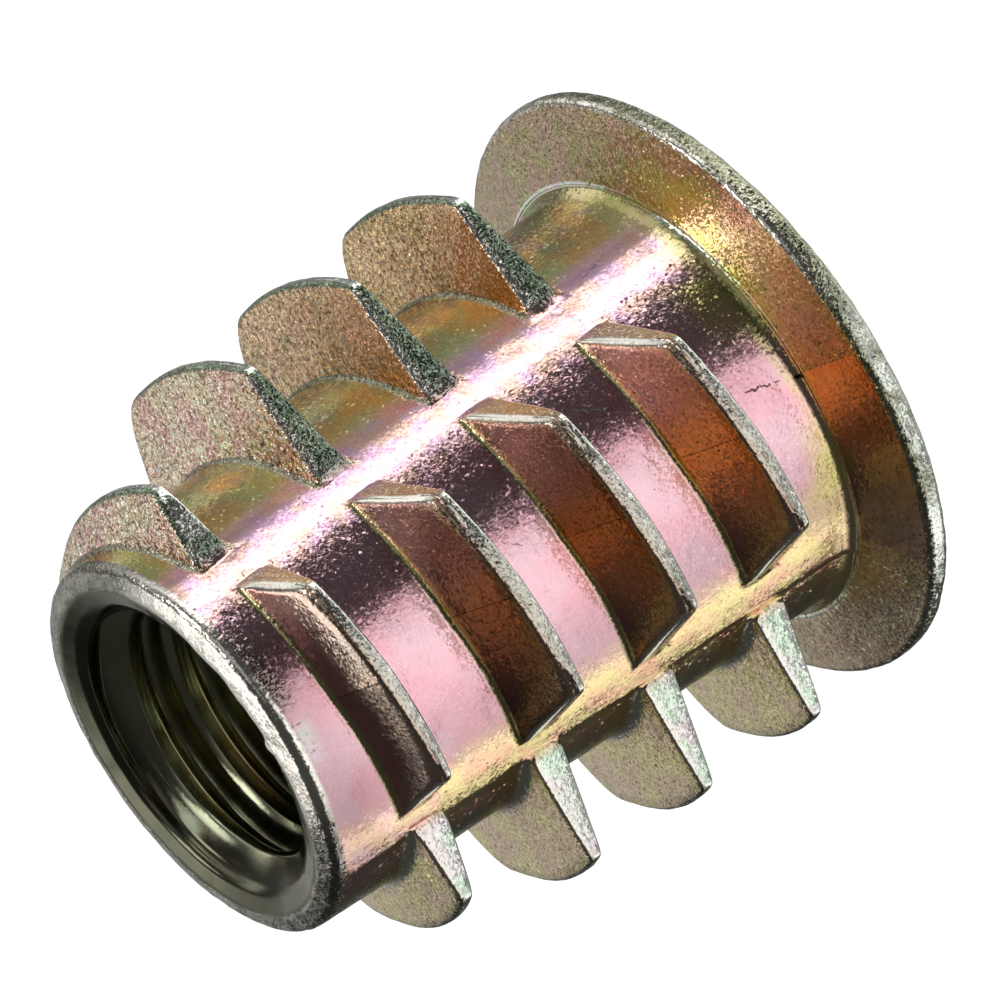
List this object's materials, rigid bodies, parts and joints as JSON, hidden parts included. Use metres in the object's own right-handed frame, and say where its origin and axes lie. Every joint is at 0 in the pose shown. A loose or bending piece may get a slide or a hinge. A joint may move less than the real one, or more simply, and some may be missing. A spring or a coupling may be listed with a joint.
{
  "type": "flanged threaded insert",
  "caption": "Flanged screw-in threaded insert for wood, with a coarse interrupted outer thread, a hexagon drive socket in the flange and a machine-thread bore.",
  "frame": {"origin": "on the axis, at the centre of the flange's outer face, which it stands on", "axes": "+Z along the axis, from the flange's outer face to the leading end; -Y towards the middle of one column of wood thread, which is cut by the mould's parting line"},
  "size_m": [0.0122, 0.0122, 0.013],
  "materials": {
    "yellow_chromate_zinc": "die-cast zinc alloy, zinc plated and yellow chromated: iridescent gold, olive, pink and green over a fine grained casting"
  },
  "bodies": {
    "root": {"insert_body": "yellow_chromate_zinc"}
  },
  "joints": []
}
